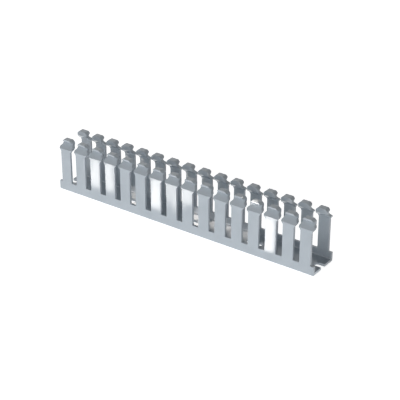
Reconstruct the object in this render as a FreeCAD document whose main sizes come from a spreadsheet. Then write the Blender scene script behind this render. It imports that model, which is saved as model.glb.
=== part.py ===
import FreeCAD, Part
import math
import os
import re
import Sketcher
from FreeCAD import Vector

# Slotted wire duct: the base of a 25 x 40 mm panel duct, extruded in rigid PVC and punched.
# X runs along the duct, Y across it and Z up. The origin is the centre of the underside.

doc = FreeCAD.newDocument("slotted_wire_duct")

# Driving dimensions, in millimetres
SIZES = {
    # Channel
    "pitch": 12.5,                  # from one wall slot to the next
    "fingers": 16,                  # on each wall
    "duct_width": 23.2,             # over the outer faces of the walls
    "duct_height": 37.3,            # to the top of the finger heads
    "wall": 1.6,
    "floor_thickness": 1.7,
    "inner_corner": 0.8,            # radius between floor and wall
    "outer_corner": 0.4,            # radius along the bottom edges
    # Section of a finger head, from its top down
    "bead_depth": 4.0,              # from the lip to the inner face of the head
    "bead_height": 3.4,             # of the inner face of the head
    "bead_round": 0.5,
    "lip_set_back": 1.5,            # lip behind the outer face of the wall
    "lip_height": 1.2,
    "lip_round": 0.3,
    "groove_drop": 1.35,             # from the lip to the groove that a cover snaps into
    "groove_depth": 3.4,            # groove behind the outer face of the wall
    "ramp_drop": 3.9,               # from the groove to the crease in the outer face
    "inner_slope_drop": 3.8,        # from the inner face of the head to the wall
    # Outline of a finger and its head, from the top down
    "head_top_width": 4.8,
    "shoulder_drop": 1.6,
    "shoulder_round": 0.8,
    "waist_width": 8.1,
    "waist_height": 2.3,
    "waist_round": 1.2,
    "horn_slope_drop": 1.2,
    "horn_tip_height": 1.1,
    "horn_round": 0.3,
    "throat": 1.9,                  # gap between the horns of neighbouring heads
    "horn_underside_drop": 2.0,
    "finger_width": 7.8,
    "finger_round": 0.8,            # where the finger widens into its horns
    "base_strip": 6.3,              # height of the solid strip below the slots
    "slot_corner": 0.4,
    # Mounting slots in the floor
    "pitches_per_mount_slot": 4,
    "mount_slot_length": 12.0,
    "mount_slot_width": 4.5,
}
sheet = doc.addObject("Spreadsheet::Sheet", "Sizes")
for row, (name, value) in enumerate(SIZES.items(), start=1):
    sheet.set(f"A{row}", name)
    sheet.set(f"B{row}", str(value))
    sheet.setAlias(f"B{row}", name)
doc.recompute()


def from_sheet(text):
    """Point each size named in an expression at its cell."""
    return re.sub("[a-z_]+", lambda word: f"Sizes.{word[0]}" if word[0] in SIZES else word[0], text)


def origin_feature(body, role):
    """Find one of the body's own planes or axes."""
    return next(f for f in body.Origin.OriginFeatures if f.Role == role)


def new_sketch(body, name, plane):
    sketch = body.newObject("Sketcher::SketchObject", name)
    sketch.AttachmentSupport = [(origin_feature(body, plane), "")]
    sketch.MapMode = "FlatFace"
    return sketch


def constrain(sketch, kind, *where, by=None):
    """Add a constraint, with its value bound to an expression where it has one."""
    if by is None:
        sketch.addConstraint(Sketcher.Constraint(kind, *where))
        return
    value = sketch.evalExpression(from_sheet(by))
    number = sketch.addConstraint(Sketcher.Constraint(kind, *where, value))
    sketch.setExpression(f"Constraints[{number}]", from_sheet(by))


def place(sketch, geometry, point, across, up):
    """Hold a point of a sketch at two distances from the sketch's origin."""
    constrain(sketch, "DistanceX", -1, 1, geometry, point, by=across)
    constrain(sketch, "DistanceY", -1, 1, geometry, point, by=up)


def rounding(before, corner, after, radius):
    """Work out the arc that rounds a corner: its two ends and its centre."""
    back = (before - corner).normalize()
    ahead = (after - corner).normalize()
    half_angle = back.getAngle(ahead) / 2
    reach = radius / math.tan(half_angle)
    centre = corner + (back + ahead).normalize() * radius / math.sin(half_angle)
    return corner + back * reach, corner + ahead * reach, centre


def draw_outline(sketch, corners):
    """Draw a closed outline. A corner gives its two coordinates and the radius that rounds it."""
    spots = [Vector(*(sketch.evalExpression(from_sheet(text)) for text in corner[:2]))
             for corner in corners]
    arcs = []
    for i, corner in enumerate(corners):
        neighbours = spots[i - 1], spots[i], spots[(i + 1) % len(spots)]
        radius = sketch.evalExpression(from_sheet(corner[2]))
        arcs.append(rounding(*neighbours, radius) if radius else (spots[i], spots[i], None))
    lines = []
    for i, arc in enumerate(arcs):
        next_arc = arcs[(i + 1) % len(arcs)]
        lines.append(sketch.addGeometry(Part.LineSegment(arc[1], next_arc[0])))
    for i, (across, up, radius) in enumerate(corners):
        start, end, centre = arcs[i]
        line_in = lines[i - 1]
        line_out = lines[i]
        if centre is None:
            constrain(sketch, "Coincident", line_in, 2, line_out, 1)
            place(sketch, line_out, 1, across, up)
            continue
        left_turn = (spots[i] - start).cross(end - spots[i]).z > 0
        circle = Part.Circle(centre, Vector(0, 0, 1), (start - centre).Length)
        ends = (start, end) if left_turn else (end, start)
        arc = sketch.addGeometry(Part.ArcOfCircle(circle, *map(circle.parameter, ends)))
        constrain(sketch, "Tangent", line_in, 2, arc, 1 if left_turn else 2)
        constrain(sketch, "Tangent", arc, 2 if left_turn else 1, line_out, 1)
        apex = sketch.addGeometry(Part.Point(spots[i]), True)
        constrain(sketch, "PointOnObject", apex, 1, line_in)
        constrain(sketch, "PointOnObject", apex, 1, line_out)
        place(sketch, apex, 1, across, up)
        constrain(sketch, "Radius", arc, by=radius)


def draw_round_ended_slot(sketch, middle, length, width):
    """Draw a slot along the sketch's first axis, with a half circle at each end."""
    radius = sketch.evalExpression(from_sheet(f"{width} / 2"))
    lift = Vector(0, radius)
    arcs = []
    for sign, start_angle in [("-", math.pi / 2), ("+", -math.pi / 2)]:
        across = f"{middle} {sign} ({length} - {width}) / 2"
        centre = Vector(sketch.evalExpression(from_sheet(across)), 0)
        circle = Part.Circle(centre, Vector(0, 0, 1), radius)
        half = Part.ArcOfCircle(circle, start_angle, start_angle + math.pi)
        arcs.append((sketch.addGeometry(half), centre, across))
    (left, left_centre, _), (right, right_centre, _) = arcs
    bottom = sketch.addGeometry(Part.LineSegment(left_centre - lift, right_centre - lift))
    top = sketch.addGeometry(Part.LineSegment(right_centre + lift, left_centre + lift))
    for first, second in [(left, bottom), (bottom, right), (right, top), (top, left)]:
        constrain(sketch, "Tangent", first, 2, second, 1)
    for arc, centre, across in arcs:
        constrain(sketch, "DistanceX", -1, 1, arc, 3, by=across)
        constrain(sketch, "PointOnObject", arc, 3, -1)
    constrain(sketch, "Radius", left, by=f"{width} / 2")


def punch(body, name, outline):
    """Cut an outline through everything, both ways from its plane."""
    pocket = body.newObject("PartDesign::Pocket", name)
    pocket.Profile = outline
    pocket.Type = "ThroughAll"
    pocket.Midplane = True
    doc.recompute()
    return pocket


def repeat_along(body, name, cut, spacing, spaces):
    """Repeat a cut along X at a spacing, starting from the first."""
    pattern = body.newObject("PartDesign::LinearPattern", name)
    pattern.Originals = [cut]
    pattern.Direction = (origin_feature(body, "X_Axis"), [""])
    pattern.setExpression("Length", from_sheet(f"({spacing}) * {spaces}"))
    pattern.setExpression("Occurrences", from_sheet(f"{spaces} + 1"))
    body.Tip = pattern
    doc.recompute()
    return pattern


# Duct base: one extrusion, punched three ways, so one solid
duct = doc.addObject("PartDesign::Body", "duct_base")
duct.Label = "duct_base"
LEFT_END = "-pitch * fingers / 2"

# Cross-section. A wall goes from the outer bottom corner up round its head and down inside.
# Its corners give their distance behind the wall's outer face, their height and their radius.
lip_bottom = "duct_height - lip_height"
groove = f"{lip_bottom} - groove_drop"
bead_inside = "lip_set_back + bead_depth"
bead_bottom = "duct_height - bead_height"
wall_corners = [
    ("0", "0", "outer_corner"),
    ("0", f"{groove} - ramp_drop", "0"),
    ("groove_depth", groove, "0"),
    ("lip_set_back", lip_bottom, "lip_round"),
    ("lip_set_back", "duct_height", "lip_round"),
    (bead_inside, "duct_height", "bead_round"),
    (bead_inside, bead_bottom, "bead_round"),
    ("wall", f"{bead_bottom} - inner_slope_drop", "0"),
    ("wall", "floor_thickness", "inner_corner"),
]
right_wall = [(f"duct_width / 2 - ({inset})", up, r) for inset, up, r in wall_corners]
left_wall = [(f"({inset}) - duct_width / 2", up, r) for inset, up, r in reversed(wall_corners)]
section = new_sketch(duct, "cross_section", "YZ_Plane")
draw_outline(section, right_wall + left_wall)
channel = duct.newObject("PartDesign::Pad", "extruded_channel")
channel.Profile = section
channel.Midplane = True
channel.setExpression("Length", from_sheet("pitch * fingers"))
doc.recompute()

# Wall slots. One stroke punches both walls, and cuts the flanks of the heads on each side of
# the slot. The corners of a flank give their distance from the slot's middle and their height.
# The last one is above the heads, so that the cut is open at its top.
shoulder = "duct_height - shoulder_drop"
waist = f"{shoulder} - waist_height"
tip_top = f"{waist} - horn_slope_drop"
tip_bottom = f"{tip_top} - horn_tip_height"
flank = [
    ("(pitch - finger_width) / 2", "base_strip", "slot_corner"),
    ("(pitch - finger_width) / 2", f"{tip_bottom} - horn_underside_drop", "finger_round"),
    ("throat / 2", tip_bottom, "horn_round"),
    ("throat / 2", tip_top, "horn_round"),
    ("(pitch - waist_width) / 2", waist, "waist_round"),
    ("(pitch - waist_width) / 2", shoulder, "shoulder_round"),
    ("(pitch - head_top_width) / 2", "duct_height", "0"),
    ("(pitch - head_top_width) / 2", "duct_height + wall", "0"),
]
right_flank = [(f"{LEFT_END} + {reach}", up, r) for reach, up, r in flank]
left_flank = [(f"{LEFT_END} - {reach}", up, r) for reach, up, r in reversed(flank)]
slot_outline = new_sketch(duct, "wall_slot_outline", "XZ_Plane")
draw_outline(slot_outline, right_flank + left_flank)
wall_slot = punch(duct, "first_wall_slot", slot_outline)
wall_slots = repeat_along(duct, "wall_slots", wall_slot, "pitch", "fingers")

# Mounting slots along the middle of the floor. The first is half a slot, at the left end.
mount_outline = new_sketch(duct, "mount_slot_outline", "XY_Plane")
draw_round_ended_slot(mount_outline, LEFT_END, "mount_slot_length", "mount_slot_width")
mount_slot = punch(duct, "first_mount_slot", mount_outline)
mount_slots = repeat_along(duct, "mount_slots", mount_slot, "pitch * pitches_per_mount_slot",
                           "floor(fingers / pitches_per_mount_slot)")

# Each step has to leave less material than the one before, in one sound solid
steps = [channel, wall_slot, wall_slots, mount_slot, mount_slots]
for item in doc.Objects:
    if "Invalid" in item.State or "Error" in item.State:
        raise RuntimeError(f"{item.Name} failed: {item.State}")
for step, next_step in zip(steps, steps[1:]):
    if next_step.Shape.Volume >= step.Shape.Volume:
        raise RuntimeError(f"{next_step.Name} cut nothing")
if duct.Shape.isNull() or not duct.Shape.isValid() or len(duct.Shape.Solids) != 1:
    raise RuntimeError("the duct base is not one valid solid")

os.makedirs("parts", exist_ok=True)
duct.Shape.exportStep(f"parts/{duct.Label}.step")
box = duct.Shape.BoundBox
print(f"{duct.Label}: {box.XLength:.2f} x {box.YLength:.2f} x {box.ZLength:.2f} mm, "
      f"{duct.Shape.Volume / 1000:.2f} cm3, {len(duct.Shape.Faces)} faces")
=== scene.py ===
from math import cos, radians, sin

import bpy
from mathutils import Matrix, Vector

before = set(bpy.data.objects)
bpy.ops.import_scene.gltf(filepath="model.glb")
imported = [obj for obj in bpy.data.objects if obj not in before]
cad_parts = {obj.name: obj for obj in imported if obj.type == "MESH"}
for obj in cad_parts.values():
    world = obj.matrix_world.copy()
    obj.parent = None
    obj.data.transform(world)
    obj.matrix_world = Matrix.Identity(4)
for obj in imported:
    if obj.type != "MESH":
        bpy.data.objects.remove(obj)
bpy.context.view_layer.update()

# Duct base: the whole duct is one extrusion of rigid PVC, cut to length and then punched.
# The extruder leaves faint lines along it, the skin cools with slight ripples, and every edge is
# broken by a hair.
MILLIMETRE = 0.001
EDGE_BREAK = 0.12 * MILLIMETRE
SHARP_EDGE = radians(30)
SEAM_GAP = 0.002 * MILLIMETRE
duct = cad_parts["duct_base"]


def linear(hex_colour):
    """Turn an sRGB hex colour into Blender's linear one."""
    channels = [int(hex_colour[i:i + 2], 16) / 255 for i in (0, 2, 4)]
    return [c / 12.92 if c <= 0.04045 else ((c + 0.055) / 1.055) ** 2.4 for c in channels] + [1]


def add_node(material, kind, inputs=(), **settings):
    """Add a node with its settings. An input is a value, or the socket that feeds it."""
    node = material.node_tree.nodes.new("ShaderNode" + kind)
    for name, value in settings.items():
        setattr(node, name, value)
    for name, value in dict(inputs).items():
        if isinstance(value, bpy.types.NodeSocket):
            material.node_tree.links.new(value, node.inputs[name])
        else:
            node.inputs[name].default_value = value
    return node


def new_material(name):
    """Start a material with its output node only."""
    material = bpy.data.materials.new(name)
    material.use_nodes = True
    material.node_tree.nodes.clear()
    return material, add_node(material, "OutputMaterial")


def rigid_pvc():
    """Rigid PVC, extruded: a pale blue-grey with a satin skin and faint lines along X."""
    material, output = new_material("rigid_pvc")
    place = add_node(material, "TexCoord").outputs["Object"]

    # Lines from the die along the duct. Real ones are too fine to show in the render, so these
    # are drawn coarser
    line_spacing = 0.35 * MILLIMETRE
    line_length = 60 * MILLIMETRE
    line_depth = 0.02 * MILLIMETRE
    along = add_node(material, "Mapping", {
        "Vector": place, "Scale": (1 / line_length, 1 / line_spacing, 1 / line_spacing)})
    lines = add_node(material, "TexNoise", {
        "Vector": along.outputs["Vector"], "Scale": 1.0, "Detail": 3.0, "Roughness": 0.6})

    # Soft clouds of a slightly darker grey, from the mixing of the melt
    cloud_size = 9 * MILLIMETRE
    clouds = add_node(material, "TexNoise", {
        "Vector": place, "Scale": 1 / cloud_size, "Detail": 2.0, "Roughness": 0.5})
    tint = add_node(material, "ValToRGB", {"Fac": clouds.outputs["Fac"]})
    for element, position, shade in zip(
            tint.color_ramp.elements, (0.3, 0.7), ("A8B1B9", "AEB7BF")):
        element.position = position
        element.color = linear(shade)

    # Upright ripples, which streak the gloss on the fingers
    ripple_spacing = 2.5 * MILLIMETRE
    ripple_length = 30 * MILLIMETRE
    ripple_depth = 0.1 * MILLIMETRE
    upright = add_node(material, "Mapping", {
        "Vector": place, "Scale": (1 / ripple_spacing, 1 / ripple_spacing, 1 / ripple_length)})
    ripples = add_node(material, "TexNoise", {
        "Vector": upright.outputs["Vector"], "Scale": 1.0, "Detail": 1.0, "Roughness": 0.4})

    line_relief = add_node(material, "Bump", {
        "Height": lines.outputs["Fac"], "Strength": 0.25, "Distance": line_depth})
    ripple_relief = add_node(material, "Bump", {
        "Height": ripples.outputs["Fac"], "Strength": 0.3, "Distance": ripple_depth,
        "Normal": line_relief.outputs["Normal"]})
    shader = add_node(material, "BsdfPrincipled", {
        "Base Color": tint.outputs["Color"], "IOR": 1.53, "Roughness": 0.15,
        "Normal": ripple_relief.outputs["Normal"]})
    material.node_tree.links.new(shader.outputs["BSDF"], output.inputs["Surface"])
    return material


duct.data.materials.clear()
duct.data.materials.append(rigid_pvc())
weld = duct.modifiers.new("joined_faces", "WELD")
weld.merge_threshold = SEAM_GAP
edges = duct.modifiers.new("broken_edges", "BEVEL")
edges.width = EDGE_BREAK
edges.segments = 2
edges.limit_method = "ANGLE"
edges.angle_limit = SHARP_EDGE
edges.harden_normals = True

# Studio: the duct lies on a table of white acrylic, lit from inside, brightly in front of the
# duct and dimly behind it, in a dim room. So the outer wall is brightest, the tops are darker,
# and the camera and every reflection see a white ground with a faint shadow.
TABLE_SIZE = 6
GROUND_SHADE = "C8C8C8"
DUCT_DEPTH = 23.2 * MILLIMETRE
FRONT_GLOW = 1.2
BACK_GLOW = 0.24
NEAR = 0.15
NEAR_WHITE = 0.86
FAR = 0.6
FAR_WHITE = 1.0
ROOM_GLOW = 0.09
BACKDROP_WHITE = 1.0


def sees_background(material):
    """Give 1 for rays that show the background: from the camera, off gloss or through glass."""
    path = add_node(material, "LightPath")
    gloss_or_glass = add_node(material, "Math", {
        0: path.outputs["Is Glossy Ray"], 1: path.outputs["Is Transmission Ray"]},
        operation="MAXIMUM")
    return add_node(material, "Math", {
        0: path.outputs["Is Camera Ray"], 1: gloss_or_glass.outputs[0]},
        operation="MAXIMUM").outputs[0]


def lit_acrylic():
    """Opal acrylic, lit from inside. It casts the most light in front of the duct. Where it is
    seen, it glows white far from the duct and a little dimmer near it, as its skin adds light."""
    material, output = new_material("lit_acrylic")
    place = add_node(material, "TexCoord").outputs["Object"]
    depth = add_node(material, "SeparateXYZ", {"Vector": place}).outputs["Y"]
    cast_level = add_node(material, "MapRange", {
        "Value": depth, "From Min": -DUCT_DEPTH / 2, "From Max": DUCT_DEPTH / 2,
        "To Min": FRONT_GLOW, "To Max": BACK_GLOW})
    glow_cast = add_node(material, "Emission", {
        "Color": linear("FFFFFF"), "Strength": cast_level.outputs["Result"]})

    distance = add_node(material, "VectorMath", {"Vector": place}, operation="LENGTH")
    seen_level = add_node(material, "MapRange", {
        "Value": distance.outputs["Value"], "From Min": NEAR, "From Max": FAR,
        "To Min": NEAR_WHITE, "To Max": FAR_WHITE})
    glow_seen = add_node(material, "Emission", {
        "Color": linear("FFFFFF"), "Strength": seen_level.outputs["Result"]})

    skin = add_node(material, "BsdfDiffuse", {"Color": linear(GROUND_SHADE)})
    glow = add_node(material, "MixShader", {
        0: sees_background(material), 1: glow_cast.outputs[0], 2: glow_seen.outputs[0]})
    ground = add_node(material, "AddShader", {0: glow.outputs[0], 1: skin.outputs[0]})
    material.node_tree.links.new(ground.outputs[0], output.inputs["Surface"])
    return material


bpy.ops.mesh.primitive_plane_add(size=TABLE_SIZE)
table = bpy.context.object
table.name = "light_table"
table.data.materials.append(lit_acrylic())

room = bpy.data.worlds.new("dim_room")
bpy.context.scene.world = room
room.use_nodes = True
room.node_tree.nodes.clear()
air = add_node(room, "Background", {"Color": linear("FFFFFF"), "Strength": ROOM_GLOW})
backdrop = add_node(room, "Background", {"Color": linear("FFFFFF"), "Strength": BACKDROP_WHITE})
either = add_node(room, "MixShader", {
    0: sees_background(room), 1: air.outputs[0], 2: backdrop.outputs[0]})
add_node(room, "OutputWorld", {"Surface": either.outputs[0]})

# Soft boxes: round lamps 0.8 m from the duct's middle and turned to it. Each has its bearing
# from the front and its height above the table, both in degrees, and its power in watts.
SOFT_BOX_REACH = 0.8
SOFT_BOX_WIDTH = 0.38
for name, bearing, height, power in (
        ("front", 0, 14, 0.85), ("front_high", 0, 45, 0.36), ("front_right", 45, 14, 0.65),
        ("front_left", 315, 14, 0.3), ("left", 270, 14, 1.5), ("back_left", 225, 45, 0.68),
        ("back", 180, 10, 3.0)):
    turn, rise = radians(bearing), radians(height)
    outward = Vector((sin(turn) * cos(rise), -cos(turn) * cos(rise), sin(rise)))
    light = bpy.data.lights.new("soft_box_" + name, "AREA")
    light.shape = "DISK"
    light.size = SOFT_BOX_WIDTH
    light.energy = power
    soft_box = bpy.data.objects.new("soft_box_" + name, light)
    soft_box.location = outward * SOFT_BOX_REACH
    soft_box.rotation_euler = outward.to_track_quat("Z", "Y").to_euler()
    soft_box.visible_camera = False
    bpy.context.scene.collection.objects.link(soft_box)

# Camera: a long lens at the photograph's angle, aimed a little right of the duct's middle.
# LENS_PIXELS is the focal length, in pixels of the photograph's frame.
LENS_PIXELS = 1354.43
FRAME_PIXELS = 400
AZIMUTH = radians(35.12)
ELEVATION = radians(28.28)
DISTANCE = 867.56 * MILLIMETRE
AIM = Vector((8.03, 0, 19.11)) * MILLIMETRE
lens = bpy.data.cameras.new("camera")
lens.sensor_width = 36
lens.lens = LENS_PIXELS / FRAME_PIXELS * lens.sensor_width
lens.clip_start = 0.01
lens.clip_end = 20
camera = bpy.data.objects.new("camera", lens)
backward = Vector((
    sin(AZIMUTH) * cos(ELEVATION), -cos(AZIMUTH) * cos(ELEVATION), sin(ELEVATION)))
camera.location = AIM + backward * DISTANCE
camera.rotation_euler = backward.to_track_quat("Z", "Y").to_euler()
bpy.context.scene.collection.objects.link(camera)
bpy.context.scene.camera = camera
bpy.context.scene.view_settings.view_transform = "Standard"

# Glare cards: thin clear cards, lit on one side, that only reflections see, each where the camera
# sees it mirrored in one face of the duct. Those of the fingers lie on the table and fade towards
# the duct. Those of one head make its white crescent, and the last ones the sheen in the channel.
FINGER_PITCH = 12.5 * MILLIMETRE
MIDDLE_FINGER = 8.5
CARD_LIFT = 0.3 * MILLIMETRE
STREAK_SPACING = 3.0 * MILLIMETRE
STREAK_RANGE = (0.35, 0.6)
BRIGHTER_HIGHER_UP = 1.3
FULL_GAIN_HEIGHT = 24 * MILLIMETRE
OUTWARD = Vector((0, -1, 0))
UPWARD = Vector((0, 0, 1))
RAMP_SLOPE = Vector((0, -3.9, 3.4)).normalized()


def mirrored(point, facing, reach):
    """Give the place that the camera sees mirrored in a point of a face. Reach is how far off
    it is, and 0 gives the place on the table."""
    ray = (point - camera.location).reflect(facing).normalized()
    return point + ray * (reach or (CARD_LIFT - point.z) / ray.z)


def lit_card(full_height, strength, streak_length, between_streaks):
    """A clear card, lit on the side turned to the duct. It is dark at its foot, fully lit from
    full_height up, a little stronger still higher up, and dimmer between its streaks."""
    material, output = new_material("lit_card")
    place = add_node(material, "TexCoord").outputs["Object"]
    face = add_node(material, "UVMap").outputs["UV"]
    above_foot = add_node(material, "SeparateXYZ", {"Vector": face}).outputs["Y"]
    fade = add_node(material, "MapRange", {
        "Value": above_foot, "From Max": full_height}, interpolation_type="SMOOTHSTEP")
    gain = add_node(material, "MapRange", {
        "Value": above_foot, "From Max": FULL_GAIN_HEIGHT,
        "To Min": strength, "To Max": BRIGHTER_HIGHER_UP * strength})
    along = add_node(material, "Mapping", {
        "Vector": place, "Rotation": (0, 0, -AZIMUTH),
        "Scale": (STREAK_SPACING, streak_length, 1.0)}, vector_type="TEXTURE")
    streaks = add_node(material, "TexNoise", {
        "Vector": along.outputs["Vector"], "Scale": 1.0, "Detail": 1.0})
    dimmest, brightest = STREAK_RANGE
    streak = add_node(material, "MapRange", {
        "Value": streaks.outputs["Fac"], "From Min": dimmest, "From Max": brightest,
        "To Min": between_streaks})
    lit_side = add_node(material, "NewGeometry").outputs["Backfacing"]
    level = fade.outputs["Result"]
    for factor in (streak.outputs["Result"], gain.outputs["Result"], lit_side):
        level = add_node(material, "Math", {0: level, 1: factor}, operation="MULTIPLY").outputs[0]
    light = add_node(material, "Emission", {"Color": linear("FFFAF5"), "Strength": level})
    clear = add_node(material, "BsdfTransparent")
    clear_and_lit = add_node(material, "AddShader", {0: light.outputs[0], 1: clear.outputs[0]})
    material.node_tree.links.new(clear_and_lit.outputs[0], output.inputs["Surface"])
    return material


def hang_card(finger, left, right, foot, top, facing, reach, full_height, strength,
              streak_length, between_streaks):
    """Hang the card that lights one patch of a face. Lengths are in millimetres. The patch's
    left and right are from the finger's middle, and its foot and top are each a (y, z)."""
    middle = (finger - MIDDLE_FINGER) * FINGER_PITCH
    height = (Vector(top) - Vector(foot)).length
    corners = [(left, foot, 0), (right, foot, 0), (right, top, height), (left, top, height)]
    sheet = bpy.data.meshes.new("glare_card")
    sheet.from_pydata([
        mirrored(Vector((middle + x * MILLIMETRE, y * MILLIMETRE, z * MILLIMETRE)), facing,
                 reach * MILLIMETRE)
        for x, (y, z), _ in corners], [], [(0, 1, 2, 3)])
    for corner, (x, _, above_foot) in zip(sheet.uv_layers.new(name="face").data, corners):
        corner.uv = Vector((x, above_foot)) * MILLIMETRE
    sheet.materials.append(lit_card(
        full_height * MILLIMETRE, strength, streak_length * MILLIMETRE, between_streaks))
    card = bpy.data.objects.new("glare_card", sheet)
    bpy.context.scene.collection.objects.link(card)
    for unseen_by in ("camera", "diffuse", "transmission", "volume_scatter", "shadow"):
        setattr(card, "visible_" + unseen_by, False)


# The outer faces of six fingers, counted from the left: each patch's left, right and foot, how
# far above the foot it is fully lit, its strength, and its share of that between its streaks
OUTER_FACE = -11.6
FINGER_TOP = 31.5
ON_TABLE = 0
LONG_STREAKS = 40
for finger, left, right, foot, full_height, strength, between_streaks in (
        (3, -4.4, 3.4, 7.5, 5.5, 9, 0.7),
        (4, -4.4, 3.4, 8, 6, 9.5, 0.7),
        (7, -4.4, 4.2, 7.5, 5, 10.5, 0.8),
        (8, -4.4, -2.6, 8, 14, 9.5, 0.7),
        (8, -2.6, 0.9, 16, 8, 8.5, 0.6),
        (8, 0.9, 4.2, 8, 12, 8.5, 0.7),
        (9, -4.4, -2.8, 12, 11, 10.5, 0.8),
        (9, -2.8, 3.4, 18, 5.5, 10.5, 0.7),
        (14, -4.4, 2.6, 6.2, 1, 12, 0.9)):
    hang_card(finger, left, right, (OUTER_FACE, foot), (OUTER_FACE, FINGER_TOP), OUTWARD,
              ON_TABLE, full_height, strength, LONG_STREAKS, between_streaks)

# The ramp, top and lip of one finger's head
LIT_HEAD = 13
for left, right, foot, top, facing, full_height in (
        (-4.5, 1.2, (-8.8, 34.1), (-7.0, 36.1), RAMP_SLOPE, 0.4),
        (-4.2, 1.6, (-10.1, 37.3), (-9.2, 37.3), UPWARD, 0.1),
        (-3.8, 2.4, (-10.1, 34.4), (-10.1, 38.2), OUTWARD, 0.1)):
    hang_card(LIT_HEAD, left, right, foot, top, facing, reach=12, full_height=full_height,
              strength=20, streak_length=LONG_STREAKS, between_streaks=0.9)

# The channel's floor, each patch from its front edge to its back one, and then the strip of the
# back wall just above the floor
INNER_FACE = 10.0
FLOOR = 1.7
STRIP_FOOT = 1.9
STRIP_TOP = 6.2
SHORT_STREAKS = 12
for finger, left, right, front, back, full_height, strength, between_streaks in (
        (5, -4.0, 2.8, -6.0, 2.0, 1, 6.5, 0.5),
        (5, -12.3, -2.0, 2.0, 9.8, 0.1, 4.5, 0.3),
        (9, -3.6, 3.4, -6.0, 2.0, 1, 8, 0.5),
        (9, -11.0, -1.8, 2.0, 9.8, 0.1, 6.5, 0.4),
        (11, -19, 15.5, -5.0, 9.8, 10, 4.2, 0.4)):
    hang_card(finger, left, right, (front, FLOOR), (back, FLOOR), UPWARD, 2, full_height,
              strength, SHORT_STREAKS, between_streaks)
for finger, left, right, strength, between_streaks in (
        (5, -13.5, -8.0, 3.5, 0.3), (9, -11.6, -6.2, 4.5, 0.3), (11, -23.5, 8.0, 1.8, 0.4)):
    hang_card(finger, left, right, (INNER_FACE, STRIP_FOOT), (INNER_FACE, STRIP_TOP), OUTWARD, 1,
              0.1, strength, SHORT_STREAKS, between_streaks)
